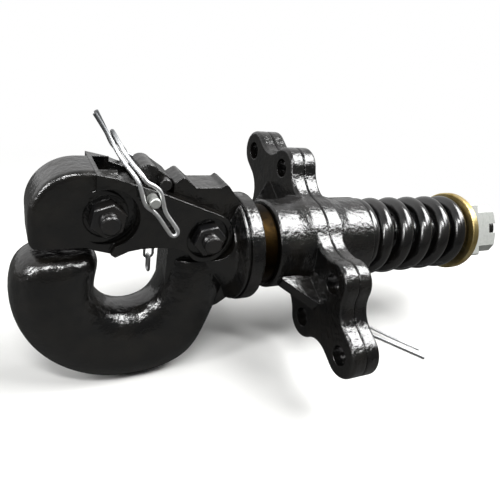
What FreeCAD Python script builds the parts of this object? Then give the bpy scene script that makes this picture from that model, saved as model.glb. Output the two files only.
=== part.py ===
import FreeCAD, Part
import math
import os

import Sketcher

from FreeCAD import Placement, Rotation, Vector

# Spring-cushioned swivel pintle hook, millimetres.
# The shaft runs along X with the hook at -X, the hook stands upright along Z, and the
# origin lies on the shaft's axis in the plane where the two bracket castings meet.

# Driving sizes, one row of the sheet each

SIZES = [
    ("shaft_dia", 38.1),
    ("thread_dia", 34.9),
    ("shaft_clearance", 0.06),
    ("collar_dia", 95.0),
    ("collar_width", 12.5),
    ("collar_rim", 3.2),
    ("collar_gap", 18.3),
    ("neck_cone_dia", 80.0),
    ("neck_cone_length", 26.0),
    ("eye_forward", 168.0),
    ("eye_below", 20.5),
    ("eye_radius", 27.5),
    ("throat_radius", 94.0),
    ("throat_shift", 5.0),
    ("throat_drop", 4.5),
    ("horn_top", 8.0),
    ("horn_thickness", 62.0),
    ("limb_half_width", 27.0),
    ("web_half_width", 13.4),
    ("web_front", 139.7),
    ("web_top", 61.0),
    ("nose_radius", 52.3),
    ("jaw_half_width", 24.5),
    ("beak_half_width", 19.0),
    ("beak_reach", 74.3),
    ("beak_round", 5.0),
    ("slot_half_width", 14.0),
    ("jaw_gap", 6.5),
    ("pivot_back", 111.0),
    ("pivot_up", 22.0),
    ("pivot_boss_radius", 21.5),
    ("boss_clearance", 1.2),
    ("front_bolt_back", 190.0),
    ("front_bolt_up", 42.0),
    ("hub_recess_radius", 23.0),
    ("nut_recess_radius", 17.5),
    ("nut_recess_depth", 4.0),
    ("bolt_dia", 12.7),
    ("bolt_clearance", 0.05),
    ("bolt_head_height", 8.0),
    ("bolt_nut_height", 10.5),
    ("bolt_nut_flats", 19.05),
    ("bolt_end", 6.0),
    ("lever_half_width", 13.2),
    ("lever_hub_radius", 11.5),
    ("keeper_back", 148.5),
    ("keeper_up", 66.2),
    ("keeper_dia", 9.4),
    ("keeper_half_length", 21.0),
    ("lock_pin_back", 159.5),
    ("lock_pin_up", 58.0),
    ("lock_pin_dia", 8.0),
    ("lock_pin_clearance", 0.1),
    ("lock_pin_reach", 35.0),
    ("clip_wire_dia", 3.2),
    ("plate_thickness", 14.0),
    ("barrel_dia", 80.6),
    ("hub_dia", 86.2),
    ("barrel_front_length", 48.0),
    ("barrel_rear_length", 54.0),
    ("bracket_tilt", 62.6),
    ("hole_dia", 17.5),
    ("pair_distance", 64.5),
    ("pair_half_spacing", 30.5),
    ("tip_distance", 116.5),
    ("lobe_radius", 19.5),
    ("tip_radius", 20.0),
    ("waist_fillet", 24.0),
    ("hub_fillet", 30.0),
    ("gusset_reach", 27.0),
    ("gusset_thickness", 11.0),
    ("bush_wall", 3.2),
    ("bush_length", 40.0),
    ("spring_wire", 15.6),
    ("spring_outer_dia", 78.0),
    ("spring_length", 131.0),
    ("spring_closed_pitch", 17.5),
    ("spring_pitch", 25.2),
    ("retainer_dia", 84.0),
    ("retainer_thickness", 8.0),
    ("washer_side", 56.0),
    ("washer_thickness", 16.0),
    ("nut_turn", 27.0),
    ("castle_flats", 50.8),
    ("castle_corner", 7.0),
    ("castle_height", 31.0),
    ("castle_slot_depth", 10.0),
    ("castle_slot_width", 10.5),
    ("stud_end", 9.0),
    ("seat_radius", 16.5),
    ("seat_depth", 1.0),
    ("crescent_depth", 3.5),
    ("chain_wire_dia", 2.4),
    ("chain_inner_length", 14.4),
    ("chain_inner_width", 5.4),
    ("link_play", 0.3),
]

doc = FreeCAD.newDocument("pintle_hook")
sizes = doc.addObject("Spreadsheet::Sheet", "Sizes")
for row, (name, value) in enumerate(SIZES, 1):
    sizes.set(f"A{row}", name)
    sizes.set(f"B{row}", str(value))
    sizes.setAlias(f"B{row}", name)
doc.recompute()


def size(expression):
    """Value of a cell, or of an expression in cells."""
    result = sizes.evalExpression(expression)
    return float(getattr(result, "Value", result))


# Helpers for bodies, sketches and features

parts = []


def new_body(name):
    body = doc.addObject("PartDesign::Body", name)
    body.Label = name
    parts.append(body)
    return body


def new_sketch(body, name, plane, offset=None):
    """Sketch on one of the body's own planes; offset is an expression along its normal."""
    sketch = body.newObject("Sketcher::SketchObject", name)
    origin_plane = [o for o in body.Origin.OriginFeatures if o.Role == plane][0]
    sketch.AttachmentSupport = [(origin_plane, "")]
    sketch.MapMode = "FlatFace"
    if offset:
        sketch.setExpression("AttachmentOffset.Base.z", offset)
    return sketch


def add_circle(sketch, across, up, radius):
    """Circle placed and sized by expressions in the sheet's cells."""
    centre = Vector(size(across), size(up), 0)
    index = sketch.addGeometry(Part.Circle(centre, Vector(0, 0, 1), size(radius)), False)
    place = sketch.addConstraint(Sketcher.Constraint("Radius", index, size(radius)))
    sketch.setExpression(f"Constraints[{place}]", bound(radius))
    return index


def bound(expression):
    """The same expression with each cell's name pointing at the sheet."""
    words = []
    for word in expression.replace("(", "( ").replace(")", " )").split():
        words.append("Sizes." + word if word in NAMES else word)
    return " ".join(words)


NAMES = {name for name, value in SIZES}


def add_outline(sketch, corners):
    """Closed outline with rounded corners; corners are (across, up, corner radius)."""
    for edge in rounded_outline(corners):
        sketch.addGeometry(edge, False)


def rounded_outline(corners):
    """Line segments joined by tangent arcs, as curves in the plane of the outline."""
    count = len(corners)
    cuts = []
    for i in range(count):
        corner = Vector(corners[i][0], corners[i][1], 0)
        before = Vector(corners[i - 1][0], corners[i - 1][1], 0)
        after = Vector(corners[(i + 1) % count][0], corners[(i + 1) % count][1], 0)
        radius = corners[i][2] if len(corners[i]) > 2 else 0
        back = (before - corner).normalize()
        ahead = (after - corner).normalize()
        if radius == 0:
            cuts.append((corner, None, corner))
            continue
        half = back.getAngle(ahead) / 2
        reach = radius / math.tan(half)
        inward = (back + ahead).normalize()
        middle = corner + inward * (radius / math.sin(half) - radius)
        cuts.append((corner + back * reach, middle, corner + ahead * reach))
    edges = []
    for i, (start, middle, end) in enumerate(cuts):
        if middle is not None:
            edges.append(Part.Arc(start, middle, end))
        following = cuts[(i + 1) % count][0]
        if (following - end).Length > 1e-6:
            edges.append(Part.LineSegment(end, following))
    return edges


def pad(body, sketch, length, side="Symmetric"):
    feature = body.newObject("PartDesign::Pad", sketch.Name + "_pad")
    feature.Profile = sketch
    feature.SideType = side
    feature.setExpression("Length", bound(length))
    doc.recompute()
    return feature


def pocket(body, sketch, length="500", side="Symmetric", reverse=False):
    feature = body.newObject("PartDesign::Pocket", sketch.Name + "_pocket")
    feature.Profile = sketch
    feature.SideType = side
    feature.Reversed = reverse
    feature.setExpression("Length", bound(length))
    volume = body.Shape.Volume
    doc.recompute()
    if feature.Shape.Volume >= volume:
        print("pocket cut nothing:", sketch.Name)
    return feature


def revolve(body, sketch, axis="X_Axis"):
    feature = body.newObject("PartDesign::Revolution", sketch.Name + "_turned")
    feature.Profile = sketch
    origin_axis = [o for o in body.Origin.OriginFeatures if o.Role == axis][0]
    feature.ReferenceAxis = (origin_axis, [""])
    feature.Angle = 360
    doc.recompute()
    return feature


def fillet(body, edges, radius):
    """Fillet the tip's edges that the test picks out."""
    tip = body.Tip
    names = [f"Edge{i + 1}" for i, edge in enumerate(tip.Shape.Edges) if edges(edge)]
    feature = body.newObject("PartDesign::Fillet", tip.Name + "_round")
    feature.Base = (tip, names)
    feature.setExpression("Radius", bound(radius))
    doc.recompute()
    return feature


def placed_shape(name, shape):
    """A sub-part whose shape is made directly, for swept wire and for lofts."""
    part = doc.addObject("Part::Feature", name)
    part.Label = name
    part.Shape = shape
    parts.append(part)
    return part


def rod(points, radius, bend):
    """Round wire along straight runs joined by tangent arcs."""
    path = []
    last = Vector(*points[0])
    for i in range(1, len(points) - 1):
        corner = Vector(*points[i])
        back = (Vector(*points[i - 1]) - corner).normalize()
        ahead = (Vector(*points[i + 1]) - corner).normalize()
        half = back.getAngle(ahead) / 2
        shorter = min((Vector(*points[i - 1]) - corner).Length, (Vector(*points[i + 1]) - corner).Length)
        reach = min(bend / math.tan(half), 0.45 * shorter)
        if math.degrees(half) > 88:
            continue
        inward = (back + ahead).normalize()
        turn = reach * math.tan(half)
        middle = corner + inward * (turn / math.sin(half) - turn)
        start = corner + back * reach
        end = corner + ahead * reach
        if (start - last).Length > 1e-6:
            path.append(Part.LineSegment(last, start).toShape())
        path.append(Part.Arc(start, middle, end).toShape())
        last = end
    path.append(Part.LineSegment(last, Vector(*points[-1])).toShape())
    wire = Part.Wire(path)
    first = path[0].tangentAt(path[0].FirstParameter)
    section = Part.Wire([Part.makeCircle(radius, Vector(*points[0]), first)])
    return wire.makePipeShell([section], True, True)


def skinned_solid(sections):
    """Solid with one smooth skin through the sections' points and a flat face at each end."""
    skin = Part.BSplineSurface()
    skin.interpolate(sections)
    skin.setVPeriodic()
    faces = [skin.toShape()]
    for curve in (skin.uIso(skin.bounds()[0]), skin.uIso(skin.bounds()[1])):
        faces.append(Part.Face(Part.Wire([curve.toShape()])))
    shell = Part.makeShell(faces)
    shell.sewShape()
    solid = Part.makeSolid(shell)
    if solid.Volume < 0:
        solid.reverse()
    return solid


# Bracket castings, drawn with the ears upright and then turned about the shaft


def ear_outline():
    """One plate with both ears: hub, two lobes and a tip on each side."""
    hub = size("hub_dia / 2")
    lobe = size("lobe_radius")
    lobe_centre = Vector(size("pair_half_spacing"), size("pair_distance"), 0)
    tip = size("tip_radius")
    tip_up = size("tip_distance")
    hub_round = size("hub_fillet")
    waist = size("waist_fillet")
    span = lobe_centre.Length
    near = hub + hub_round
    far = lobe + hub_round
    swing = math.acos((near ** 2 + span ** 2 - far ** 2) / (2 * near * span))
    lean = math.atan2(lobe_centre.x, lobe_centre.y) + swing
    hub_fillet_centre = Vector(near * math.sin(lean), near * math.cos(lean), 0)
    waist_across = tip + waist
    waist_rise = math.sqrt((lobe + waist) ** 2 - (waist_across - lobe_centre.x) ** 2)
    waist_centre = Vector(waist_across, lobe_centre.y + waist_rise, 0)

    def towards(centre, target, radius):
        return centre + (target - centre).normalize() * radius

    hub_touch = towards(Vector(0, 0, 0), hub_fillet_centre, hub)
    lobe_inner = towards(lobe_centre, hub_fillet_centre, lobe)
    lobe_outer = towards(lobe_centre, waist_centre, lobe)
    side_start = Vector(tip, waist_centre.y, 0)
    side_end = Vector(tip, tip_up, 0)
    bulge = towards(hub_fillet_centre, lobe_centre * 0.62, hub_round)
    outer = towards(lobe_centre, Vector(2 * lobe_centre.x, lobe_centre.y, 0), lobe)
    dip = towards(waist_centre, Vector(tip, lobe_centre.y + waist_rise * 0.72, 0), waist)
    edges = []
    for up in (1, -1):
        for across in (1, -1):
            def flip(point):
                return Vector(point.x * across, point.y * up, 0)
            edges.append(Part.Arc(flip(Vector(hub, 0, 0)), flip(towards(
                Vector(0, 0, 0), hub_touch + Vector(hub, 0, 0), hub)), flip(hub_touch)))
            edges.append(Part.Arc(flip(hub_touch), flip(bulge), flip(lobe_inner)))
            edges.append(Part.Arc(flip(lobe_inner), flip(outer), flip(lobe_outer)))
            edges.append(Part.Arc(flip(lobe_outer), flip(dip), flip(side_start)))
            edges.append(Part.LineSegment(flip(side_start), flip(side_end)))
        edges.append(Part.Arc(Vector(tip, tip_up * up, 0), Vector(0, (tip_up + tip) * up, 0),
                              Vector(-tip, tip_up * up, 0)))
    return edges


def bracket_casting(name, front):
    """Half of the barrel with its plate; the front one lies at -X of the seam."""
    way = -1 if front else 1
    length = "barrel_front_length" if front else "barrel_rear_length"
    body = new_body(name)
    plate = new_sketch(body, name + "_plate", "YZ_Plane")
    for edge in ear_outline():
        plate.addGeometry(edge, False)
    plate_pad = pad(body, plate, "plate_thickness", "One side")
    plate_pad.Reversed = front
    doc.recompute()
    end = size(length)
    hub = size("hub_dia / 2")
    barrel = size("barrel_dia / 2")
    flare = size("plate_thickness") + 12
    turned = new_sketch(body, name + "_barrel", "XZ_Plane")
    bore = size("shaft_dia / 2 + shaft_clearance + bush_wall")
    add_outline(turned, [(0, bore), (0, hub), (way * size("plate_thickness"), hub, 8), (way * flare, barrel, 12),
                         (way * end, barrel, 2.5), (way * end, bore)])
    revolve(body, turned)
    gusset = new_sketch(body, name + "_gusset", "XZ_Plane")
    rise = hub + size("gusset_reach")
    for up in (1, -1):
        add_outline(gusset, [(way * 2, up * (barrel - 3)), (way * (end - 6), up * (barrel - 3)),
                             (way * (end - 6), up * (barrel + 2), 3), (way * (size("plate_thickness") + 3), up * rise, 6),
                             (way * 2, up * rise)])
    pad(body, gusset, "gusset_thickness")
    holes = new_sketch(body, name + "_holes", "YZ_Plane")
    for up in ("", "-"):
        add_circle(holes, "0", up + "tip_distance", "hole_dia / 2")
        for across in ("", "-"):
            add_circle(holes, across + "pair_half_spacing", up + "pair_distance", "hole_dia / 2")
    pocket(body, holes)
    clear = new_sketch(body, name + "_bore", "YZ_Plane")
    add_circle(clear, "0", "0", "shaft_dia / 2 + shaft_clearance + bush_wall")
    pocket(body, clear)
    thickness = size("plate_thickness")

    def outer_rim(edge):
        box = edge.BoundBox
        flat = box.XLength < 0.01 and abs(box.Center.x - way * thickness) < 0.01
        centre = box.Center
        beside_gusset = abs(centre.y) > size("gusset_thickness")
        tip_end = abs(centre.z) > size("tip_distance + tip_radius / 2")
        on_hole = edge.Length < math.pi * size("hole_dia") * 1.01 and edge.isClosed()
        return flat and abs(centre.z) > hub - 6 and (beside_gusset or tip_end) and not on_hole

    fillet(body, outer_rim, "3.5")

    def seam_rim(edge):
        box = edge.BoundBox
        on_hole = edge.Length < math.pi * size("hole_dia") * 1.01 and edge.isClosed()
        on_bore = edge.isClosed() and box.ZLength < 2 * bore + 0.1
        return box.XLength < 0.01 and abs(box.Center.x) < 0.01 and not on_hole and not on_bore

    fillet(body, seam_rim, "1.8")
    body.Placement = Placement(Vector(0, 0, 0), Rotation(Vector(1, 0, 0), -size("bracket_tilt")))
    return body


bracket_casting("front_bracket", True)
bracket_casting("rear_bracket", False)


# Bushes, spring and the parts that it pushes on


def ring(name, start, length, inner, outer, edge="0.8"):
    """Plain turned ring about the shaft, start and length along X."""
    body = new_body(name)
    section = new_sketch(body, name + "_section", "XZ_Plane")
    low = size(inner)
    high = size(outer)
    first = size(start)
    last = first + size(length)
    soft = size(edge)
    add_outline(section, [(first, low), (first, high, soft), (last, high, soft), (last, low)])
    revolve(body, section)
    return body


ring("front_bush", "- barrel_front_length", "bush_length", "shaft_dia / 2 + shaft_clearance",
     "shaft_dia / 2 + shaft_clearance + bush_wall", "0.4")
ring("rear_bush", "barrel_rear_length - bush_length", "bush_length", "shaft_dia / 2 + shaft_clearance",
     "shaft_dia / 2 + shaft_clearance + bush_wall", "0.4")
ring("thrust_washer", "- barrel_front_length - collar_gap", "collar_gap", "shaft_dia / 2 + shaft_clearance",
     "barrel_dia / 2 - 4", "2")


STEPS_PER_TURN = 24
WIRE_POINTS = 16


def coil_spring(name, start, length, wire, outer, closed_pitch, open_pitch):
    """Compression spring about the shaft, its end turns closed up and ground flat."""
    radius = outer / 2 - wire / 2
    lean = math.radians(22)
    closed_turns = 1.12
    open_turns = (length - 0.05 * wire - (closed_turns + 0.7) * closed_pitch) / open_pitch
    turns = closed_turns + open_turns + 0.7
    sections = []
    for step in range(int(turns * STEPS_PER_TURN) + 1):
        turn = step / STEPS_PER_TURN
        active = min(max(turn - closed_turns, 0), open_turns)
        x = start + closed_pitch * (turn - active) + open_pitch * active
        angle = lean + 2 * math.pi * (turn - 0.12)
        out = Vector(0, -math.cos(angle), math.sin(angle))
        slope = math.atan2(open_pitch, 2 * math.pi * radius)
        side = Vector(math.cos(slope), 0, 0) - Vector(0, math.sin(angle), math.cos(angle)) * math.sin(slope)
        section = []
        for k in range(WIRE_POINTS + 1):
            around = 2 * math.pi * (k % WIRE_POINTS) / WIRE_POINTS
            section.append(Vector(x, 0, 0) + out * (radius - wire / 2 * math.cos(around)) + side * (wire / 2 * math.sin(around)))
        sections.append(section)
    coil = skinned_solid(sections)
    slab = Part.makeBox(length, 2 * outer, 2 * outer, Vector(start, -outer, -outer))
    return placed_shape(name, coil.common(slab).Solids[0])


coil_spring("buffer_spring", size("barrel_rear_length"), size("spring_length"), size("spring_wire"),
            size("spring_outer_dia"), size("spring_closed_pitch"), size("spring_pitch"))

ring("spring_retainer", "barrel_rear_length + spring_length", "retainer_thickness",
     "shaft_dia / 2 + shaft_clearance", "retainer_dia / 2", "1.5")

def square_block(body, name, start, length, side, corner):
    """Square prism about the shaft, turned with the nut, its long corners cut off."""
    sketch = new_sketch(body, name, "YZ_Plane", bound(start))
    half = side / 2
    turn = Rotation(Vector(0, 0, 1), -size("nut_turn"))
    points = []
    for k in range(4):
        quarter = Rotation(Vector(0, 0, 1), 90 * k)
        for across, up in ((half, half - corner), (half - corner, half)):
            points.append(turn.multVec(quarter.multVec(Vector(across, up, 0))))
    for k in range(8):
        sketch.addGeometry(Part.LineSegment(points[k], points[(k + 1) % 8]), False)
    pad(body, sketch, length, "One side")
    return body


NUT_START = "barrel_rear_length + spring_length + retainer_thickness + washer_thickness"


def nut_washer():
    body = new_body("nut_washer")
    start = "barrel_rear_length + spring_length + retainer_thickness"
    square_block(body, "washer_square", start, "washer_thickness", size("washer_side"), 1.5)
    hole = new_sketch(body, "washer_hole", "YZ_Plane", bound(start))
    add_circle(hole, "0", "0", "thread_dia / 2 + 0.4")
    pocket(body, hole)
    return body


nut_washer()


def castle_nut():
    body = new_body("castle_nut")
    flats = size("castle_flats")
    square_block(body, "castle_square", NUT_START, "castle_height", flats, size("castle_corner"))
    last = size(NUT_START + " + castle_height")
    edge = new_sketch(body, "castle_edge", "XZ_Plane")
    corner = flats / 2 + 3
    add_outline(edge, [(last - 3, corner + 9), (last - 3, corner + 2.5), (last + 1, corner - 4.5), (last + 1, corner + 9)])
    groove = body.newObject("PartDesign::Groove", "castle_edge_cut")
    groove.Profile = edge
    groove.ReferenceAxis = ([o for o in body.Origin.OriginFeatures if o.Role == "X_Axis"][0], [""])
    groove.Angle = 360
    doc.recompute()
    half = size("castle_slot_width / 2")
    for k in range(2):
        bar = new_sketch(body, f"castle_slot_{k}", "YZ_Plane", bound(NUT_START + " + castle_height"))
        turn = Rotation(Vector(0, 0, 1), 90 * k - size("nut_turn"))
        corners = [turn.multVec(Vector(a * (flats / 2 + 5), b * half, 0)) for a, b in
                   ((-1, -1), (1, -1), (1, 1), (-1, 1))]
        for i in range(4):
            bar.addGeometry(Part.LineSegment(corners[i], corners[(i + 1) % 4]), False)
        pocket(body, bar, "castle_slot_depth", "One side")
    hole = new_sketch(body, "castle_thread", "YZ_Plane", bound(NUT_START))
    add_circle(hole, "0", "0", "thread_dia / 2")
    pocket(body, hole)
    return body


castle_nut()


# Hook: one forging with its horn, web, collar and shaft


SECTION_POINTS = 28


def limb_section(middle, along, half_thick, half_wide):
    """Points round the forging's rounded section; along points from the eye outwards."""
    points = []
    for k in range(SECTION_POINTS + 1):
        turn = 2 * math.pi * (k % SECTION_POINTS) / SECTION_POINTS
        c = math.cos(turn)
        s = math.sin(turn)
        across = half_thick * math.copysign(abs(c) ** 0.82, c)
        side = half_wide * math.copysign(abs(s) ** 0.82, s)
        points.append(middle + along * across + Vector(0, side, 0))
    return points


def eye_centre():
    return Vector(-size("eye_forward"), 0, -size("eye_below"))


def limb():
    """Horn, saddle and root as one loft round the eye."""
    eye = eye_centre()
    throat = eye + Vector(size("throat_shift"), 0, -size("throat_drop"))
    wide = size("limb_half_width")
    top = size("horn_top")
    thick = size("horn_thickness / 2")
    horn_x = eye.x - size("eye_radius") - thick
    sections = [
        (Vector(horn_x + 6, 0, top), Vector(-1, 0, 0), thick * 0.60, wide * 0.62),
        (Vector(horn_x + 5.4, 0, top - 2.2), Vector(-1, 0, 0), thick * 0.80, wide * 0.82),
        (Vector(horn_x + 4.4, 0, top - 7), Vector(-1, 0, 0), thick * 0.93, wide * 0.94),
        (Vector(horn_x + 2, 0, top - 17), Vector(-1, 0, 0), thick * 0.99, wide),
    ]
    for angle in (188, 211, 234, 257, 280, 303):
        along = Vector(math.cos(math.radians(angle)), 0, math.sin(math.radians(angle)))
        offset = throat - eye
        reach = along.dot(offset) + math.sqrt(size("throat_radius") ** 2 - offset.Length ** 2
                                              + along.dot(offset) ** 2)
        inner = size("eye_radius")
        sections.append((eye + along * (inner + reach) / 2, along, (reach - inner) / 2, wide))
    web = -size("web_front")
    pivot = -size("pivot_back")
    root = [(330, (web + 20.5, -49), 29.5, wide), (348, (web + 26, -30), 28.5, wide - 1.5),
            (0, (pivot - 0.5, -14), 28, wide - 4), (0, (pivot, -2), 26.5, wide - 7)]
    for angle, (x, z), half, side in root:
        along = Vector(math.cos(math.radians(angle)), 0, math.sin(math.radians(angle)))
        sections.append((Vector(x, 0, z), along, half, side))
    return skinned_solid([limb_section(*section) for section in sections])


def hook_body():
    forging = doc.addObject("Part::Feature", "limb")
    forging.Shape = limb()
    body = new_body("hook_body")
    body.BaseFeature = forging
    doc.recompute()
    web = new_sketch(body, "web", "XZ_Plane")
    front = -size("web_front")
    pivot = Vector(-size("pivot_back"), size("pivot_up"), 0)
    nose = size("nose_radius")
    corner = pivot.y + math.sqrt(nose ** 2 - (front - pivot.x) ** 2)
    nose_back = front + 7.7
    nose_top = pivot.y + math.sqrt(nose ** 2 - (nose_back - pivot.x) ** 2)
    top = size("web_top")
    back = -size("barrel_front_length + collar_gap + collar_width")
    add_outline(web, [(front, -48, 3), (front, corner - 1, 2), (nose_back, nose_top, 3), (front + 18.1, top, 2.5),
                      (front + 40, top, 2), (front + 43.1, top + 2.5, 1), (front + 46.2, top + 0.7, 3),
                      (back - 2, 46, 4), (back + 4, 40), (back + 4, -42), (back - 10, -52), (front + 20, -62)])
    pad(body, web, "web_half_width * 2")
    shaft = new_sketch(body, "shaft", "XZ_Plane")
    collar = size("collar_dia / 2")
    rim = size("collar_rim")
    collar_back = -size("barrel_front_length + collar_gap")
    radius = size("shaft_dia / 2")
    thread = size("thread_dia / 2")
    shoulder = size("barrel_rear_length + spring_length + retainer_thickness")
    end = shoulder + size("washer_thickness + castle_height + stud_end")
    cone = size("neck_cone_dia / 2")
    front_of_rim = back - rim - 1.4
    add_outline(shaft, [(front_of_rim - size("neck_cone_length"), 0), (front_of_rim - size("neck_cone_length"), cone - 20, 6),
                        (front_of_rim - 4, cone - 5, 5), (front_of_rim, collar - 3), (front_of_rim + 1, collar - 1, 0.8),
                        (back - 1.4, collar - 1, 0.8), (back - 1.4, collar - 3), (back, collar - 3),
                        (back, collar, 1.2), (collar_back, collar, 2.2), (collar_back, radius), (shoulder, radius, 0.8),
                        (shoulder, thread), (end, thread, 2), (end, 0)])
    revolve(body, shaft)
    cove_floor = bound("slot_half_width - 0.2")
    reach = size("pivot_boss_radius + boss_clearance")
    for side, way in (("near", 1), ("far", -1)):
        cove = new_sketch(body, "cove_" + side, "XZ_Plane", ("" if way > 0 else "- ") + "( " + cove_floor + " )")
        cove.addGeometry(Part.Arc(pivot + Vector(-reach, 0, 0), pivot + Vector(0, -reach, 0), pivot + Vector(reach, 0, 0)), False)
        cove.addGeometry(Part.LineSegment(pivot + Vector(reach, 0, 0), pivot + Vector(reach, 60, 0)), False)
        cove.addGeometry(Part.LineSegment(pivot + Vector(reach, 60, 0), pivot + Vector(-reach, 60, 0)), False)
        cove.addGeometry(Part.LineSegment(pivot + Vector(-reach, 60, 0), pivot + Vector(-reach, 0, 0)), False)
        pocket(body, cove, "60", "One side", way > 0)
    bolt = new_sketch(body, "pivot_hole", "XZ_Plane")
    add_circle(bolt, "- pivot_back", "pivot_up", "bolt_dia / 2 + bolt_clearance")
    pocket(body, bolt, "web_half_width * 2 + 4")
    return body


hook_body()


# Upper jaw: beak and two cheeks in one casting, open between the cheeks


def upper_jaw():
    body = new_body("upper_jaw")
    pivot = (-size("pivot_back"), size("pivot_up"))
    boss = size("pivot_boss_radius")
    bolt = (-size("front_bolt_back"), size("front_bolt_up"))
    bottom = size("horn_top + jaw_gap")
    tip = -size("eye_forward + beak_reach")
    nose = new_sketch(body, "beak", "XZ_Plane")
    height = 75.8
    add_outline(nose, [(-183, bottom), (tip, bottom, 9), (tip, height, 36), (-183, height)])
    pad(body, nose, "beak_half_width * 2")
    face = size("beak_half_width")

    def beak_rim(edge):
        box = edge.BoundBox
        return box.YLength < 0.01 and abs(abs(box.Center.y) - face) < 0.01 and box.Center.x < -184

    fillet(body, beak_rim, "beak_round")
    top = [(-196, height), (-184, 72.9), (-176.5, 70), (-152.3, 61.9)]
    lower = [(-128.6, 10.5), (-138, 14.5), (-150, 16.5), (-164, 16.5), (-174, 15), (-184, 10.5), (-190.5, bottom - 3)]
    slope = math.atan2(72.9 - 61.9, 184 - 152.3)
    boss_top = Vector(pivot[0] + boss * math.sin(slope), pivot[1] + boss * math.cos(slope), 0)
    boss_back = Vector(pivot[0] + boss, pivot[1], 0)
    boss_bottom = Vector(pivot[0] - boss * 0.45, pivot[1] - boss * 0.893, 0)
    core = new_sketch(body, "core", "XZ_Plane")
    corners = [(-210, 20), (-210, 66), (-197, 69), (-197, 75)] + top[1:]
    corners += [(boss_top.x, boss_top.y), (boss_bottom.x, boss_bottom.y)] + lower[:6] + [(-197, bottom)]
    for edge in rounded_outline(corners):
        ends = edge.StartPoint, edge.EndPoint
        if ends[0].distanceToPoint(boss_top) < 0.01 and ends[1].distanceToPoint(boss_bottom) < 0.01:
            edge = Part.Arc(boss_top, boss_back, boss_bottom)
        core.addGeometry(edge, False)
    pad(body, core, "beak_half_width * 2")
    cheeks = new_sketch(body, "cheeks", "XZ_Plane")
    cheek = [Vector(-198.5, 62, 0), Vector(-198.5, 76.2, 0)] + [Vector(x, z, 0) for x, z in top[1:]] + [boss_top]
    for i in range(len(cheek) - 1):
        cheeks.addGeometry(Part.LineSegment(cheek[i], cheek[i + 1]), False)
    cheeks.addGeometry(Part.Arc(boss_top, boss_back, boss_bottom), False)
    lip = [boss_bottom] + [Vector(x, z, 0) for x, z in lower[:6]]
    lip += [Vector(-187.2, 13, 0), Vector(-184, 20, 0), Vector(-180, 30, 0), Vector(-198.5, 62, 0)]
    for i in range(len(lip) - 1):
        cheeks.addGeometry(Part.LineSegment(lip[i], lip[i + 1]), False)
    pad(body, cheeks, "jaw_half_width * 2")
    floor = "beak_half_width"
    for side, way in (("near", 1), ("far", -1)):
        sign = "" if way > 0 else "- "
        recess = new_sketch(body, "hub_recess_" + side, "XZ_Plane", sign + bound(floor))
        add_circle(recess, "- front_bolt_back", "front_bolt_up", "hub_recess_radius")
        pocket(body, recess, "20", "One side", way > 0)
        rear_seat = new_sketch(body, "nut_seat_" + side, "XZ_Plane", sign + "( " + bound("jaw_half_width - nut_recess_depth") + " )")
        add_circle(rear_seat, "- pivot_back", "pivot_up", "nut_recess_radius")
        pocket(body, rear_seat, "20", "One side", way > 0)
        front_seat = new_sketch(body, "front_seat_" + side, "XZ_Plane", sign + "( " + bound("beak_half_width - seat_depth") + " )")
        add_circle(front_seat, "- front_bolt_back", "front_bolt_up", "seat_radius")
        pocket(body, front_seat, "20", "One side", way > 0)
        crescent = new_sketch(body, "crescent_" + side, "XZ_Plane", sign + "( " + bound("beak_half_width - crescent_depth") + " )")
        outer = size("hub_recess_radius") - 0.6
        inner = outer - 2
        shift = 4.5
        rise = (outer ** 2 - inner ** 2 + shift ** 2) / (2 * shift)
        tall = math.sqrt(outer ** 2 - rise ** 2)
        middle = Vector(bolt[0], bolt[1], 0)
        crescent.addGeometry(Part.Arc(middle + Vector(-rise, -tall, 0), middle + Vector(outer, 0, 0), middle + Vector(-rise, tall, 0)), False)
        crescent.addGeometry(Part.Arc(middle + Vector(-rise, tall, 0), middle + Vector(inner - shift, 0, 0), middle + Vector(-rise, -tall, 0)), False)
        pocket(body, crescent, "20", "One side", way > 0)
    slot = new_sketch(body, "jaw_slot", "XZ_Plane")
    add_outline(slot, [(-195.5, 95), (-195.5, 58, 4), (-204.5, 51, 4), (-204.5, 33, 4), (-190.5, 25, 3), (-190.5, -20),
                       (-70, -20), (-70, 95)])
    pocket(body, slot, "slot_half_width * 2")
    holes = new_sketch(body, "jaw_holes", "XZ_Plane")
    add_circle(holes, "- pivot_back", "pivot_up", "bolt_dia / 2")
    add_circle(holes, "- front_bolt_back", "front_bolt_up", "bolt_dia / 2")
    add_circle(holes, "- lock_pin_back", "lock_pin_up", "lock_pin_dia / 2 + lock_pin_clearance")
    pocket(body, holes)
    return body


upper_jaw()


# Pivot bolts with their nuts, lever, keeper pin and lock pin


def hexagon_prism(body, name, across, up, flats, start, height):
    """Hexagon whose flats lie level, standing out towards +Y from start."""
    sketch = new_sketch(body, name, "XZ_Plane", "- ( " + bound(start) + " )")
    corner = size(flats) / math.sqrt(3)
    middle = Vector(size(across), size(up), 0)
    points = [middle + Vector(corner * math.cos(math.radians(60 * k)), corner * math.sin(math.radians(60 * k)), 0)
              for k in range(6)]
    for k in range(6):
        sketch.addGeometry(Part.LineSegment(points[k], points[(k + 1) % 6]), False)
    feature = pad(body, sketch, height, "One side")
    feature.Reversed = True
    doc.recompute()
    return feature


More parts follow.
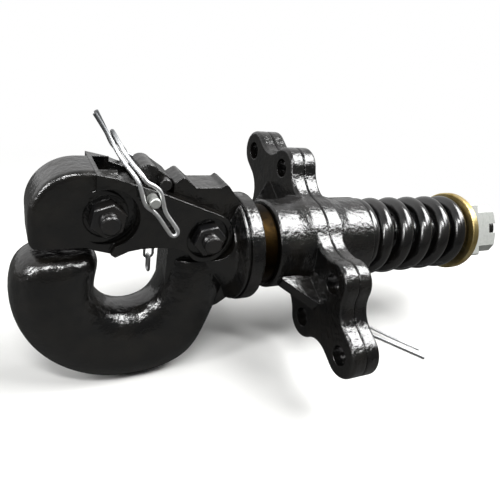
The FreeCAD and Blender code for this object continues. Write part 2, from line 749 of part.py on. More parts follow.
def chamfer_hexagon(body, name, across, up, face, flats, outward):
    """Turned chamfer that takes the corners off the hexagon's outer face."""
    sketch = body.newObject("Sketcher::SketchObject", name)
    sketch.AttachmentSupport = [([o for o in body.Origin.OriginFeatures if o.Role == "XY_Plane"][0], "")]
    sketch.MapMode = "FlatFace"
    sketch.setExpression("AttachmentOffset.Base.x", bound(across))
    sketch.setExpression("AttachmentOffset.Base.z", bound(up))
    level = size(face)
    start = size(flats) / 2 - 0.3
    reach = start + 3
    drop = (reach - start) * math.tan(math.radians(30))
    add_outline(sketch, [(start, level + outward), (start, level), (reach, level - outward * drop), (reach, level + outward)])
    groove = body.newObject("PartDesign::Groove", name + "_cut")
    groove.Profile = sketch
    groove.ReferenceAxis = (sketch, ["V_Axis"])
    groove.Angle = 360
    doc.recompute()
    return groove


def pivot_bolt(name, across, up, seat):
    """Bolt from the far side with its nut seated at the same distance on the near side."""
    body = new_body(name + "_bolt")
    stem = new_sketch(body, name + "_stem", "XZ_Plane", "- ( " + bound(seat + " + 0.01") + " )")
    add_circle(stem, across, up, "bolt_dia / 2")
    pad(body, stem, seat + " * 2 + bolt_nut_height + bolt_end", "One side")
    hexagon_prism(body, name + "_head", across, up, "bolt_nut_flats", seat, "bolt_head_height")
    nut = new_body(name + "_nut")
    hexagon_prism(nut, name + "_nut_hexagon", across, up, "bolt_nut_flats", "0 - " + seat + " - bolt_nut_height",
                  "bolt_nut_height")
    thread = new_sketch(nut, name + "_nut_thread", "XZ_Plane")
    add_circle(thread, across, up, "bolt_dia / 2")
    pocket(nut, thread)
    chamfer_hexagon(body, name + "_head_edge", across, up, seat + " + bolt_head_height", "bolt_nut_flats", 1)
    chamfer_hexagon(nut, name + "_nut_edge", across, up, "0 - " + seat + " - bolt_nut_height", "bolt_nut_flats", -1)
    return body


pivot_bolt("front_pivot", "- front_bolt_back", "front_bolt_up", "( beak_half_width - seat_depth )")
pivot_bolt("rear_pivot", "- pivot_back", "pivot_up", "( jaw_half_width - nut_recess_depth )")


def lock_lever():
    body = new_body("lock_lever")
    pivot = Vector(-size("pivot_back"), size("pivot_up"), 0)
    bolt = Vector(-size("front_bolt_back"), size("front_bolt_up"), 0)
    hub = size("lever_hub_radius")
    clear = size("nose_radius") + 1.2

    def beyond(angle):
        turn = math.radians(angle)
        return pivot + Vector(clear * math.cos(turn), clear * math.sin(turn), 0)

    arm = new_sketch(body, "lever_arm", "XZ_Plane")
    heel = beyond(128.5)
    toe = beyond(163)
    keeper = Vector(-size("keeper_back"), size("keeper_up"), 0)
    back = keeper + Vector(6.2, 2.5, 0)
    outline = [
        Part.Arc(heel, beyond(146), toe),
        Part.LineSegment(toe, bolt + Vector(4, -hub, 0)),
        Part.Arc(bolt + Vector(4, -hub, 0), bolt + Vector(-hub, 0, 0), bolt + Vector(-2, hub + 1, 0)),
        Part.LineSegment(bolt + Vector(-2, hub + 1, 0), Vector(-182, 65.5, 0)),
        Part.LineSegment(Vector(-182, 65.5, 0), Vector(-171, 65, 0)),
        Part.LineSegment(Vector(-171, 65, 0), Vector(-168.5, 71, 0)),
        Part.Arc(Vector(-168.5, 71, 0), Vector(-161.5, 79.2, 0), Vector(-153, 76, 0)),
        Part.LineSegment(Vector(-153, 76, 0), back),
        Part.LineSegment(back, heel),
    ]
    for edge in outline:
        arm.addGeometry(edge, False)
    pad(body, arm, "lever_half_width * 2")
    lift = Vector(size("lock_pin_back") * -1, size("lock_pin_up"), 0)
    away = (lift - bolt).normalize()
    down = Vector(away.y, -away.x, 0)
    half = size("lock_pin_dia / 2") + 1.5
    slot = new_sketch(body, "lever_slot", "XZ_Plane")
    corners = [lift + away * half - down * half, lift + away * half + down * 24, lift - away * half + down * 24,
               lift - away * half - down * half]
    add_outline(slot, [(corners[0].x, corners[0].y, half * 0.9), (corners[1].x, corners[1].y),
                       (corners[2].x, corners[2].y), (corners[3].x, corners[3].y, half * 0.9)])
    pocket(body, slot)
    holes = new_sketch(body, "lever_holes", "XZ_Plane")
    add_circle(holes, "- front_bolt_back", "front_bolt_up", "bolt_dia / 2 + bolt_clearance")
    add_circle(holes, "- keeper_back", "keeper_up", "keeper_dia / 2")
    pocket(body, holes)
    return body


lock_lever()


def cross_pin(name, across, up, diameter, half_length, edge):
    body = new_body(name)
    sketch = new_sketch(body, name + "_round", "XZ_Plane")
    add_circle(sketch, across, up, diameter + " / 2")
    pad(body, sketch, half_length + " * 2")
    fillet(body, lambda e: e.isClosed() and e.BoundBox.YLength < 0.01, edge)
    return body


cross_pin("keeper_pin", "- keeper_back", "keeper_up", "keeper_dia", "keeper_half_length", "1")
cross_pin("lock_pin", "- lock_pin_back", "lock_pin_up", "lock_pin_dia", "lock_pin_reach", "1.2")


# Wire safety clip astride the jaw, near leg first and its mirror on the far side

CLIP_LEG = [
    (-196.6, -1.75, 111.4), (-187.3, -3.0, 97.1), (-180.7, -17.5, 84.2), (-171.8, -29.5, 74.2), (-169.2, -31.0, 66.0),
    (-167.6, -31.0, 60.0), (-165.0, -31.0, 54.0), (-158.2, -31.0, 50.0), (-149.6, -31.0, 37.4), (-143.4, -31.0, 28.4),
    (-138.3, -31.0, 32.1), (-144.5, -31.0, 41.0), (-150.8, -31.0, 49.4), (-153.2, -31.0, 58.0),
    (-155.2, -31.0, 65.5), (-159.5, -31.0, 69.8), (-166.3, -31.0, 72.9), (-168.8, -29.5, 77.2), (-177.4, -17.5, 86.2),
    (-184.0, -2.6, 98.8),
]


def clip_wire():
    """The clip's bent wire as it sits on the lock pin."""
    far = [(x, -y, z) for x, y, z in reversed(CLIP_LEG)]
    far[-1] = (-195.2, 1.75, 112.2)
    return rod(CLIP_LEG + far, size("clip_wire_dia / 2"), 4.5)


placed_shape("safety_clip", clip_wire())


# Tether: a short chain of oval links, each link clear of the next by a third of a millimetre


def chain(name, held, line, count):
    """Links hooked one in the next along a straight line, the first round what is held."""
    wire = size("chain_wire_dia / 2")
    half = size("chain_inner_length / 2")
    wide = size("chain_inner_width / 2") + wire
    straight = half + wire - wide
    pitch = 2 * half - size("link_play")
    line = line.normalize()
    start = held + line * (half + wire)
    level = line.cross(Vector(0, 1, 0)).normalize()
    upright = level.cross(line).normalize()
    links = []
    for k in range(count):
        middle = start + line * (pitch * k)
        across = upright if k % 2 == 0 else level
        corners = [middle + line * a + across * b for a, b in
                   ((-straight, wide), (straight, wide), (straight + wide, 0), (straight, -wide), (-straight, -wide),
                    (-straight - wide, 0))]
        path = Part.Wire([Part.makeLine(corners[0], corners[1]),
                          Part.Arc(corners[1], corners[2], corners[3]).toShape(),
                          Part.makeLine(corners[3], corners[4]),
                          Part.Arc(corners[4], corners[5], corners[0]).toShape()])
        section = Part.Wire([Part.makeCircle(wire, corners[0], line)])
        links.append(path.makePipeShell([section], True, False))
    return placed_shape(name, Part.makeCompound(links))


chain("tether_chain", Vector(-142.8, 31, 32.7), Vector(2.5, 4.5, -60), 5)

# Everything is rebuilt, tested and written out

doc.recompute()
os.makedirs("parts", exist_ok=True)
for thing in doc.Objects:
    if "Invalid" in thing.State or "Error" in thing.State:
        raise RuntimeError(f"{thing.Name} failed: {thing.State}")
for part in parts:
    if part.Shape.isNull() or not part.Shape.isValid():
        raise RuntimeError(f"{part.Label} has no valid shape")
for part in parts:
    part.Shape.exportStep(f"parts/{part.Label}.step")
    print(f"{part.Label}: {len(part.Shape.Solids)} solid, {part.Shape.Volume / 1000:.1f} cm3")
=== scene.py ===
# %% [markdown]
# A pintle hook joins a trailer's ring to a tractor's drawbar. The ring drops into the hook's
# eye, a hinged upper jaw closes over it, and a latch lever, a cross pin and a sprung wire
# clip keep the jaw shut. The shaft swivels in a two-ear bracket against a coil spring.
# The CAD model gives the frame: every solid, in metres, already in its place. This lesson
# dresses it, so each step says what a piece or finish is in reality and how it is made here.

# %% Load the frame
import math

import bmesh
import bpy
from mathutils import Matrix, Vector


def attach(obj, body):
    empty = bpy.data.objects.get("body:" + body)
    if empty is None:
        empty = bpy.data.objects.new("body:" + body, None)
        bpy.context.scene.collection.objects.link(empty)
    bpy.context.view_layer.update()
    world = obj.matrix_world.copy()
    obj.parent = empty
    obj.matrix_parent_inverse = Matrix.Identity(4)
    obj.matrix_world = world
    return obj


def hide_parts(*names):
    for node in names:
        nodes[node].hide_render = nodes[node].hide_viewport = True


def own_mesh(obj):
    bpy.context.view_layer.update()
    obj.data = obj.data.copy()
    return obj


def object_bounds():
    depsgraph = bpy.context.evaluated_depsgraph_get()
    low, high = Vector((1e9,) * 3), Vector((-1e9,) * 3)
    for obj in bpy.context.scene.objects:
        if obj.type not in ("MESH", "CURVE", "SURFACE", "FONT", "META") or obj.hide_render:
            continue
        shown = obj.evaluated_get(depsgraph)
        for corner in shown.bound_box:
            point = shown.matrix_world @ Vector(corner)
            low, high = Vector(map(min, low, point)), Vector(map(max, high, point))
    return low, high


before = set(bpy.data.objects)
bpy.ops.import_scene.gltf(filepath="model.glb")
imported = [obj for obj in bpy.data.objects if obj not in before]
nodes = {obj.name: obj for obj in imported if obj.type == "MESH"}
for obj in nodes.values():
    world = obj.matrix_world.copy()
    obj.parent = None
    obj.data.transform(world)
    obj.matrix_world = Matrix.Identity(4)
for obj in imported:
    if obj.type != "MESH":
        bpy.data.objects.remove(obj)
cad_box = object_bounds()
print("nodes:", len(nodes))

# %% [markdown]
# The camera comes first, since it decides what the picture can show. It stands to the left
# of the shaft and above it, as close as a product photographer would, so the hook looks
# larger than the nut at the far end. Its place, tilt and focal length were worked out from
# features whose real places are known, such as the bolt holes and the pivot bolts.

# %% Camera
MM = 0.001
CAMERA_PLACE = Vector((-259.3, -346.8, 201.0)) * MM
CAMERA_TURN = math.radians(30.285)
CAMERA_TILT = math.radians(27.29)
CAMERA_ROLL = math.radians(10.59)
FOCAL_MM = 35.66
SENSOR_MM = 36.0

forward = Vector((math.sin(CAMERA_TURN) * math.cos(CAMERA_TILT),
                  math.cos(CAMERA_TURN) * math.cos(CAMERA_TILT), -math.sin(CAMERA_TILT)))
level_right = Vector((math.cos(CAMERA_TURN), -math.sin(CAMERA_TURN), 0))
level_up = level_right.cross(forward)
camera_right = level_right * math.cos(CAMERA_ROLL) + level_up * math.sin(CAMERA_ROLL)
camera_up = level_up * math.cos(CAMERA_ROLL) - level_right * math.sin(CAMERA_ROLL)

camera = bpy.data.objects.new("camera", bpy.data.cameras.new("camera"))
bpy.context.collection.objects.link(camera)
camera.matrix_world = Matrix((
    (camera_right.x, camera_up.x, -forward.x, CAMERA_PLACE.x),
    (camera_right.y, camera_up.y, -forward.y, CAMERA_PLACE.y),
    (camera_right.z, camera_up.z, -forward.z, CAMERA_PLACE.z),
    (0, 0, 0, 1)))
camera.data.lens = FOCAL_MM
camera.data.sensor_width = SENSOR_MM
camera.data.clip_start = 0.01
bpy.context.scene.camera = camera
bpy.context.scene.view_settings.view_transform = "Standard"
print("camera looks along", [round(value, 3) for value in forward])

# %% [markdown]
# Every material is a small tree of nodes. One helper adds a node, sets its options and
# fills or links its inputs, which keeps each tree short enough to read as a recipe.

# %% Node helper and colour
def srgb(code):
    """Linear RGBA of a hex colour."""
    channels = [int(code[i:i + 2], 16) / 255 for i in (1, 3, 5)]
    linear = [c / 12.92 if c <= 0.04045 else ((c + 0.055) / 1.055) ** 2.4 for c in channels]
    return (*linear, 1.0)


def add_node(tree, kind, inputs=None, **options):
    """A node with its options set and its inputs given as values or as sockets to link."""
    node = tree.nodes.new("ShaderNode" + kind)
    for option, value in options.items():
        setattr(node, option, value)
    for name, value in (inputs or {}).items():
        socket = node.inputs[name]
        if isinstance(value, bpy.types.NodeSocket):
            tree.links.new(value, socket)
        else:
            socket.default_value = value
    return node


def start_material(name, shader_inputs):
    """A material with its shader and a socket that reads the piece's own coordinates."""
    material = bpy.data.materials.new(name)
    material.use_nodes = True
    tree = material.node_tree
    tree.nodes.clear()
    shader = add_node(tree, "BsdfPrincipled", shader_inputs)
    add_node(tree, "OutputMaterial", {"Surface": shader.outputs["BSDF"]})
    place = add_node(tree, "TexCoord").outputs["Object"]
    return material, tree, shader, place


def waves_per_metre(size_mm):
    """Texture scale that gives a noise whose blobs are about that many millimetres."""
    return 1000 / size_mm


def set_ramp(ramp, low, low_colour, high, high_colour):
    """Give a colour ramp's two stops their places and hex colours."""
    for stop, place, colour in zip(ramp.elements, (low, high), (low_colour, high_colour)):
        stop.position = place
        stop.color = srgb(colour)


# %% [markdown]
# The bracket is a sand casting, and the hook, jaw and lever are forgings, all dipped or
# sprayed in gloss black enamel. The rough skin shows through the paint, and thick paint
# pulls it into soft lumps: broad waves of 5 to 6 mm with a finer orange peel of under 2 mm
# on top. The paint itself is nearly black and glossy, so most of what the eye sees is its
# reflections, which the bump breaks up. A little brown shows where the coat is thin. The
# Bevel node rounds the way light falls on a hard edge, as paint that gathers there does.

# %% Gloss black enamel over rough metal
PATCH_MM = 22
PAINTED_EDGE_MM = 1.3


def enamel(name, colour, thin_colour, wave_mm, wave_depth, peel_mm, peel_depth, gloss):
    """Glossy paint with two sizes of lumps; depths in millimetres, gloss as roughness."""
    material, tree, shader, place = start_material(name, {
        "IOR": 1.5, "Specular IOR Level": 1.0})
    patches = add_node(tree, "TexNoise", {
        "Vector": place, "Scale": waves_per_metre(PATCH_MM), "Detail": 4.0, "Roughness": 0.6})
    tint = add_node(tree, "ValToRGB", {"Fac": patches.outputs["Fac"]})
    set_ramp(tint.color_ramp, 0.4, colour, 0.68, thin_colour)
    tree.links.new(tint.outputs["Color"], shader.inputs["Base Color"])
    dull = add_node(tree, "MapRange", {
        "Value": patches.outputs["Fac"], "From Min": 0.3, "From Max": 0.7,
        "To Min": gloss, "To Max": gloss + 0.1})
    tree.links.new(dull.outputs["Result"], shader.inputs["Roughness"])
    wave = add_node(tree, "TexNoise", {
        "Vector": place, "Scale": waves_per_metre(wave_mm), "Detail": 2.0, "Roughness": 0.45})
    peel = add_node(tree, "TexNoise", {
        "Vector": place, "Scale": waves_per_metre(peel_mm), "Detail": 3.0, "Roughness": 0.55})
    soft_edge = add_node(tree, "Bevel", {"Radius": PAINTED_EDGE_MM * MM}, samples=4)
    broad = add_node(tree, "Bump", {
        "Height": wave.outputs["Fac"], "Distance": wave_depth * MM, "Strength": 1.0,
        "Normal": soft_edge.outputs["Normal"]})
    fine = add_node(tree, "Bump", {
        "Height": peel.outputs["Fac"], "Distance": peel_depth * MM, "Strength": 1.0,
        "Normal": broad.outputs["Normal"]})
    tree.links.new(fine.outputs["Normal"], shader.inputs["Normal"])
    return material


# %% [markdown]
# The four enamels differ in what lies under them. Sand leaves the finest and steepest
# pebbles, a forging is calmer, spring wire is drawn smooth, so its waves are longer and
# lower, and the bolts carry one thin coat.

# %% The four enamels
bracket_enamel = enamel(
    "gloss_black_enamel_on_sand_casting", "#040404", "#12100d",
    wave_mm=4.6, wave_depth=0.65, peel_mm=1.5, peel_depth=0.22, gloss=0.15)
hook_enamel = enamel(
    "gloss_black_enamel_on_forging", "#040404", "#14120f",
    wave_mm=6, wave_depth=0.75, peel_mm=1.8, peel_depth=0.18, gloss=0.15)
spring_enamel = enamel(
    "gloss_black_enamel_on_spring_wire", "#070707", "#110f0d",
    wave_mm=16, wave_depth=0.2, peel_mm=3.0, peel_depth=0.04, gloss=0.16)
fastener_enamel = enamel(
    "black_enamel_on_bolts", "#101011", "#1d1a17",
    wave_mm=6, wave_depth=0.15, peel_mm=1.2, peel_depth=0.06, gloss=0.2)
print("enamels:", bracket_enamel.name, hook_enamel.name, spring_enamel.name,
      fastener_enamel.name)

# %% [markdown]
# Zinc plate is a thin bright metal coat, and handling leaves cloudy patches on it. Turned
# pins and nuts keep fine lines from the lathe, while drawn wire is smooth. The yellow kind
# is the same coat with a chromate finish, whose colour shifts from straw to olive with its
# thickness. Turned bronze shows rings from the tool, and its colours are painted nearly
# black as painted shade for the dark gap it sits in. Real tool lines are some 0.2 mm
# apart, too fine to show, so they are drawn at 0.7 to 0.8 mm.

# %% Plated and turned metals
def plated(name, colour, cloud_colour, cloud_mm, rough, line_mm=0, line_depth=0):
    """Metal with cloudy patches and, where a line size is given, fine tool lines round X."""
    material, tree, shader, place = start_material(name, {"Metallic": 1.0})
    cloud = add_node(tree, "TexNoise", {
        "Vector": place, "Scale": waves_per_metre(cloud_mm), "Detail": 5.0, "Roughness": 0.62})
    tint = add_node(tree, "ValToRGB", {"Fac": cloud.outputs["Fac"]})
    set_ramp(tint.color_ramp, 0.36, colour, 0.68, cloud_colour)
    tree.links.new(tint.outputs["Color"], shader.inputs["Base Color"])
    haze = add_node(tree, "MapRange", {
        "Value": cloud.outputs["Fac"], "From Min": 0.3, "From Max": 0.7,
        "To Min": rough, "To Max": rough + 0.14})
    tree.links.new(haze.outputs["Result"], shader.inputs["Roughness"])
    if not line_mm:
        return material
    stretch = add_node(tree, "Mapping", {"Vector": place, "Scale": (1.0, 0.12, 0.12)})
    lines = add_node(tree, "TexNoise", {
        "Vector": stretch.outputs["Vector"], "Scale": waves_per_metre(line_mm), "Detail": 2.0})
    marks = add_node(tree, "Bump", {
        "Height": lines.outputs["Fac"], "Distance": line_depth * MM, "Strength": 1.0})
    tree.links.new(marks.outputs["Normal"], shader.inputs["Normal"])
    return material


zinc_plate = plated("bright_zinc_plate", "#e2e4e0", "#c0c3be", cloud_mm=9, rough=0.5,
                    line_mm=0.8, line_depth=0.004)
wire_zinc = plated("bright_zinc_on_drawn_wire", "#f2f2f1", "#c6c8ca", cloud_mm=9, rough=0.4)
yellow_zinc = plated("yellow_chromate_zinc", "#d2c08c", "#a88f52", cloud_mm=11, rough=0.3,
                     line_mm=0.7, line_depth=0.02)
# The bronze's two near-black colours are painted shade for the recessed gap between the hook's
# collar and the barrel.
bronze_in_painted_shade = plated("turned_bronze_in_painted_shade", "#241908", "#080604", cloud_mm=16, rough=0.42,
                       line_mm=0.8, line_depth=0.02)
print("metals:", zinc_plate.name, wire_zinc.name, yellow_zinc.name, bronze_in_painted_shade.name)

# %% [markdown]
# The clip's tails are painted a darker grey, as painted shade that dims the lamps' glare on
# the highest legs, while the part that grips the pin stays bright. The tails are the highest
# part of the wire, so height in the piece's own coordinates fades one colour into the other.

# %% Painted shade on the wire's tails
TAILS_START_MM = 72
TAILS_FULL_MM = 102

wire_tree = wire_zinc.node_tree
wire_shader = wire_tree.nodes["Principled BSDF"]
bright_colour = wire_shader.inputs["Base Color"].links[0].from_socket
wire_place = add_node(wire_tree, "TexCoord").outputs["Object"]
height = add_node(wire_tree, "SeparateXYZ", {"Vector": wire_place}).outputs["Z"]
# Painted shade: the zinc turns grey with height, over the tails.
tail_shade = add_node(wire_tree, "MapRange", {
    "Value": height, "From Min": TAILS_START_MM * MM, "From Max": TAILS_FULL_MM * MM})
two_greys = add_node(wire_tree, "Mix", {"Factor": tail_shade.outputs["Result"]}, data_type="RGBA")
wire_tree.links.new(bright_colour, two_greys.inputs[6])
two_greys.inputs[7].default_value = srgb("#77797b")
wire_tree.links.new(two_greys.outputs[2], wire_shader.inputs["Base Color"])
print("tails dull from", TAILS_START_MM, "to", TAILS_FULL_MM, "mm up")

# %% [markdown]
# A CAD node keeps its own mesh, which is exact, and only takes a new finish: the first
# material slot of each object is set by name. New pieces name the same finishes later.

# %% Finish of every CAD node
FINISHES = {
    "front_bracket": bracket_enamel, "rear_bracket": bracket_enamel,
    "front_bush": bronze_in_painted_shade, "rear_bush": bronze_in_painted_shade, "thrust_washer": bronze_in_painted_shade,
    "buffer_spring": spring_enamel, "spring_retainer": yellow_zinc,
    "nut_washer": zinc_plate, "castle_nut": zinc_plate,
    "hook_body": hook_enamel, "upper_jaw": hook_enamel, "lock_lever": hook_enamel,
    "front_pivot_bolt": fastener_enamel, "front_pivot_nut": fastener_enamel,
    "rear_pivot_bolt": fastener_enamel, "rear_pivot_nut": fastener_enamel,
    "keeper_pin": fastener_enamel, "lock_pin": zinc_plate, "safety_clip": wire_zinc,
    "tether_chain": wire_zinc,
}
for name, node in nodes.items():
    node.data.materials.clear()
    node.data.materials.append(FINISHES[name])
print("finished nodes:", len(FINISHES))

# %% [markdown]
# What the CAD leaves plain is added as pieces of their own, each riding on the body that
# carries it. Two helpers do it: one finishes a mesh and sets it on its body, the other
# spins an outline round an axis, as a lathe does. Corners sharper than a given angle stay
# hard, and flatter ones are shaded round.

# %% Helpers for added pieces
MERGE_MM = 0.002
SPIN_STEPS = 48


def finished_piece(name, form, finish, body, sharp_above=25):
    """A mesh with outward normals, hard edges above an angle in degrees, riding on a body."""
    bmesh.ops.remove_doubles(form, verts=form.verts, dist=MERGE_MM * MM)
    bmesh.ops.recalc_face_normals(form, faces=form.faces)
    mesh = bpy.data.meshes.new(name)
    form.to_mesh(mesh)
    form.free()
    mesh.shade_smooth()
    mesh.set_sharp_from_angle(angle=math.radians(sharp_above))
    mesh.materials.append(finish)
    piece = bpy.data.objects.new(name, mesh)
    bpy.context.collection.objects.link(piece)
    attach(piece, body)
    print(name, "faces:", len(mesh.polygons))
    return piece


def turned_piece(name, outline, centre, axis, finish, body):
    """Spin an outline of (along, radius) pairs in millimetres round an axis."""
    form = bmesh.new()
    side = Vector(axis).orthogonal().normalized()
    points = [form.verts.new((Vector(centre) + Vector(axis) * along + side * radius) * MM)
              for along, radius in outline]
    edges = [form.edges.new(pair) for pair in zip(points, points[1:])]
    bmesh.ops.spin(form, geom=points + edges, cent=Vector(centre) * MM, axis=Vector(axis),
                   angle=math.tau, steps=SPIN_STEPS, use_merge=True)
    return finished_piece(name, form, finish, body)


# %% [markdown]
# The bolts end in a cut thread that shows past each nut, with a chamfer that starts it. A
# real thread is a helix, but at this size rings of the same pitch look the same and spin in
# one step. The half-inch bolts have 13 threads to the inch, and the shaft's stud has 6. The
# rings lie round the CAD's plain ends, so their crests stand a little outside the real size.

# %% Threads past the nuts
INCH = 25.4
BOLT_CREST = 7.3
STUD_CREST = 18.0
FRONT_PIVOT = (-190, 0, 42)
REAR_PIVOT = (-111, 0, 22)


def thread_outline(start, end, radius, pitch, depth, chamfer):
    """Crests and roots along a bolt's end, then the chamfer and the flat tip."""
    outline = [(start, radius - depth)]
    along = start + pitch / 4
    while along < end - chamfer - pitch / 2:
        outline += [(along, radius - depth), (along + pitch / 2, radius)]
        along += pitch
    return outline + [(end - chamfer, radius), (end, radius - chamfer * 1.2), (end, 0)]


for name, pivot, nut_face, tip in (("front_bolt_thread", FRONT_PIVOT, 27.6, 35.8),
                                   ("rear_bolt_thread", REAR_PIVOT, 30.1, 38.3)):
    outline = thread_outline(nut_face, tip, BOLT_CREST, INCH / 13, depth=0.7, chamfer=1.1)
    turned_piece(name, outline, pivot, (0, -1, 0), fastener_enamel, "jaw")
outline = thread_outline(224, 248.6, STUD_CREST, INCH / 6, depth=0.6, chamfer=1.6)
turned_piece("stud_thread", outline, (0, 0, 0), (1, 0, 0), hook_enamel, "hook")

# %% [markdown]
# The spring's coil is exact in the CAD, but a real one gets shorter when the hook is pulled.
# So a copy of its mesh stands for it: the copy's loose triangles are merged and it sits
# against the bracket.

# %% A copy of the spring
coil = bmesh.new()
coil.from_mesh(nodes["buffer_spring"].data)
pressed_spring = finished_piece("pressed_spring", coil, spring_enamel, "bracket", 50)
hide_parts("buffer_spring")
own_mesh(pressed_spring)

# %% [markdown]
# The pivot nuts are close to the eye, and the light that runs along their worn edges tells
# what they are. Each CAD nut is replaced by one whose outer face stands up from an inset
# rim, which gives its corners their chamfer, and whose edges are all rounded under the
# paint. Both are drawn larger across the flats than the CAD's nuts.

# %% Pivot nuts with worn edges
NUT_FLATS = 23.8
NUT_RIM = 1.5
NUT_RISE = 1.1
NUT_EDGE = 0.55


def hexagon_nut(name, cad_nut, pivot, seat, top, turn, finish, body):
    """Six-sided nut lying across Y, its outer corners chamfered and its edges rounded."""
    corner = NUT_FLATS / 2 / math.cos(math.pi / 6)
    form = bmesh.new()
    bmesh.ops.create_cone(form, cap_ends=True, segments=6, radius1=corner * MM,
                          radius2=corner * MM, depth=(top - seat) * MM)
    outer_face = max(form.faces, key=lambda face: face.calc_center_median().z)
    bmesh.ops.inset_region(form, faces=[outer_face], thickness=NUT_RIM * MM)
    for vert in outer_face.verts:
        vert.co.z += NUT_RISE * MM
    bmesh.ops.bevel(form, geom=list(form.edges), offset=NUT_EDGE * MM, offset_type="OFFSET",
                    segments=2, profile=0.5, affect="EDGES", material=-1)
    place = (Matrix.Translation(Vector((pivot[0], -(seat + top) / 2, pivot[2])) * MM)
             @ Matrix.Rotation(math.radians(turn), 4, "Y")
             @ Matrix.Rotation(math.pi / 2, 4, "X"))
    bmesh.ops.transform(form, matrix=place, verts=form.verts)
    nut = finished_piece(name, form, finish, body)
    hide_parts(cad_nut)


hexagon_nut("front_nut", "front_pivot_nut", FRONT_PIVOT, seat=18.0, top=27.4, turn=12,
            finish=fastener_enamel, body="jaw")
hexagon_nut("rear_nut", "rear_pivot_nut", REAR_PIVOT, seat=20.5, top=29.9, turn=20,
            finish=fastener_enamel, body="jaw")

# %% [markdown]
# The clip that springs onto the lock pin is one length of drawn wire with soft bends, and so
# is a second one, which lies on the floor beyond the lower ear with only its tails in view.
# Wire is drawn as a curve with a round bevel, whose smooth spline cuts the corners of the
# path as a bending tool does. The first clip's path has the CAD wire's own corner points.

# %% Bent wire
WIRE_MM = 3.2


def bent_wire(name, path_mm, finish, body):
    """Round wire along a smooth path through points in millimetres."""
    curve = bpy.data.curves.new(name + "_path", "CURVE")
    curve.dimensions = "3D"
    curve.bevel_depth = WIRE_MM / 2 * MM
    curve.bevel_resolution = 8
    curve.use_fill_caps = True
    spline = curve.splines.new("NURBS")
    spline.points.add(len(path_mm) - 1)
    for point, place in zip(spline.points, path_mm):
        point.co = (*(Vector(place) * MM), 1)
    spline.order_u = 3
    spline.use_endpoint_u = True
    path = bpy.data.objects.new(name + "_path", curve)
    bpy.context.collection.objects.link(path)
    bpy.context.view_layer.update()
    form = bmesh.new()
    form.from_mesh(bpy.data.meshes.new_from_object(path))
    bpy.data.objects.remove(path)
    return finished_piece(name, form, finish, body, 60)


# %% [markdown]
# The clip on the pin is the same on both sides of the jaw: each leg comes down from the
# tails, goes round the end of the lock pin, turns back at the eye and climbs again. So one
# leg is written out, and the other is its mirror. Only the tails' tips differ a little.

# %% The two wire clips
near_leg = [
    (-196.6, -1.75, 111.4), (-187.3, -3.0, 97.1), (-180.7, -17.5, 84.2), (-171.8, -29.5, 74.2),
    (-169.2, -31.0, 66.0), (-167.6, -31.0, 60.0), (-165.0, -31.0, 54.0), (-158.2, -31.0, 50.0),
    (-149.6, -31.0, 37.4), (-143.4, -31.0, 28.4), (-138.3, -31.0, 32.1), (-144.5, -31.0, 41.0),
    (-150.8, -31.0, 49.4), (-153.2, -31.0, 58.0), (-155.2, -31.0, 65.5), (-159.5, -31.0, 69.8),
    (-166.3, -31.0, 72.9), (-168.8, -29.5, 77.2), (-177.4, -17.5, 86.2), (-184.0, -2.6, 98.8)]
far_leg = [(x, -y, z) for x, y, z in reversed(near_leg)]
far_leg[-1] = (-195.2, 1.75, 112.2)
lock_clip = bent_wire("lock_clip", near_leg + far_leg, wire_zinc, "clip")
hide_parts("safety_clip")

spare_clip_path = [
    (143.4, -70.5, -117.0), (109.6, -21.2, -117.0), (98.0, -10.0, -117.0), (76.0, 2.0, -117.0),
    (60.0, 26.0, -117.0), (46.0, 46.0, -117.0), (52.0, 52.0, -117.0), (66.0, 34.0, -117.0),
    (84.0, 16.0, -115.2), (92.0, 34.0, -115.2), (76.0, 56.0, -117.0), (82.0, 62.0, -117.0),
    (96.0, 42.0, -117.0), (106.0, 14.0, -114.8), (107.0, -10.0, -113.6), (142.4, -60.7, -113.6)]
bent_wire("spare_clip", spare_clip_path, wire_zinc, "bracket")

# %% [markdown]
# The photograph is a cut-out on white. A pale floor does the same here. Glossy black shows
# what stands round it, so the floor looks pale to the camera alone and is a dark grey to
# every other ray, which keeps the hook's underside dark. Away from the hook the floor fades
# into plain white, so its edge never shows.

# %% Floor
FLOOR_GAP_MM = 0.4
floor_height = cad_box[0][2] - FLOOR_GAP_MM * MM
bpy.ops.mesh.primitive_plane_add(size=6, location=(0, 0, floor_height))
floor = bpy.context.object
floor.name = "floor"
floor_paint, floor_tree, floor_shader, floor_place = start_material("pale_floor_paint", {
    "Roughness": 0.6, "Specular IOR Level": 0.2})
camera_ray = add_node(floor_tree, "LightPath").outputs["Is Camera Ray"]
floor_colour = add_node(floor_tree, "Mix", {"Factor": camera_ray}, data_type="RGBA")
floor_colour.inputs[6].default_value = srgb("#4c4c4b")
floor_colour.inputs[7].default_value = srgb("#ececea")
floor_tree.links.new(floor_colour.outputs[2], floor_shader.inputs["Base Color"])
distance = add_node(floor_tree, "VectorMath", {0: floor_place}, operation="LENGTH")
fade = add_node(floor_tree, "MapRange", {
    "Value": distance.outputs["Value"], "From Min": 0.3, "From Max": 0.7},
    interpolation_type="SMOOTHSTEP")
far_floor = add_node(floor_tree, "Math", {0: camera_ray, 1: fade.outputs["Result"]},
                     operation="MULTIPLY")
white = add_node(floor_tree, "Emission", {"Color": srgb("#ffffff"), "Strength": 1.0})
blend = add_node(floor_tree, "MixShader", {
    0: far_floor.outputs["Value"], 1: floor_shader.outputs["BSDF"],
    2: white.outputs["Emission"]})
floor_output = floor_tree.nodes["Material Output"]
floor_tree.links.new(blend.outputs["Shader"], floor_output.inputs["Surface"])
floor.data.materials.append(floor_paint)
print("floor at mm:", round(floor_height / MM, 1))

# %% [markdown]
# The camera sees a white world. To reflections the world is dim in front of the hook and
# bright beyond it, like a dark studio with a white wall at its back, and this is what draws
# the rims of the barrel, spring and ears. For soft light it is dimmer still, so that the
# lamps and not the wall set the level.

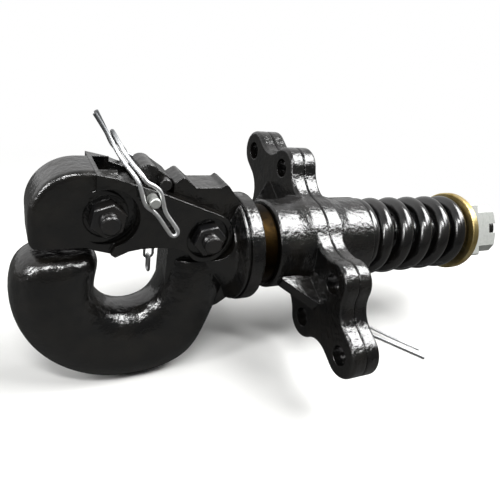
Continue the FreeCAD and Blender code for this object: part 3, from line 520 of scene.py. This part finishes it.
# %% Surround
world = bpy.data.worlds.new("white_surround")
bpy.context.scene.world = world
world.use_nodes = True
world_tree = world.node_tree
world_tree.nodes.clear()
rays = add_node(world_tree, "LightPath")
towards = add_node(world_tree, "TexCoord").outputs["Generated"]
split = add_node(world_tree, "SeparateXYZ", {"Vector": towards})
beyond = add_node(world_tree, "MapRange", {
    "Value": split.outputs["Y"], "From Min": -0.3, "From Max": 0.7,
    "To Min": 0.1, "To Max": 0.9})
strength = add_node(world_tree, "Math", {
    0: rays.outputs["Is Camera Ray"], 1: beyond.outputs["Result"]}, operation="MAXIMUM")
shaded = add_node(world_tree, "MapRange", {
    "Value": rays.outputs["Is Diffuse Ray"], "To Min": 1.0, "To Max": 0.45})
level = add_node(world_tree, "Math", {
    0: strength.outputs["Value"], 1: shaded.outputs["Result"]}, operation="MULTIPLY")
surround = add_node(world_tree, "Background", {
    "Color": srgb("#ffffff"), "Strength": level.outputs["Value"]})
add_node(world_tree, "OutputWorld", {"Surface": surround.outputs["Background"]})
print("surround:", world.name)

# %% [markdown]
# Four soft lamps draw the highlights. The large overhead one and the one to its right lie
# along the barrel, the ears and the spring, the narrow front one is there for the jaw's rim,
# and the tall left one for the horn and the pivot nuts.

# %% Lamps
def soft_lamp(name, place, aim, size, watts):
    """Rectangular lamp at a place, turned to its aim, in metres and watts."""
    lamp = bpy.data.objects.new(name, bpy.data.lights.new(name, "AREA"))
    bpy.context.collection.objects.link(lamp)
    lamp.data.shape = "RECTANGLE"
    lamp.data.size, lamp.data.size_y = size
    lamp.data.energy = watts
    lamp.location = place
    lamp.rotation_euler = (Vector(aim) - Vector(place)).to_track_quat("-Z", "Y").to_euler()
    print(name, "watts:", watts)


soft_lamp("overhead_lamp", (0.5, -0.24, 0.95), (0, 0, 0), (0.9, 0.46), 19)
soft_lamp("right_lamp", (1.0, -0.25, 0.85), (-0.1, 0, 0), (0.3, 0.4), 6)
soft_lamp("front_lamp", (-0.45, -0.6, 1.0), (-0.1, 0, 0), (0.5, 0.12), 8)
soft_lamp("left_lamp", (-1.2, -0.35, 0.65), (-0.1, 0, 0), (0.14, 0.6), 8)
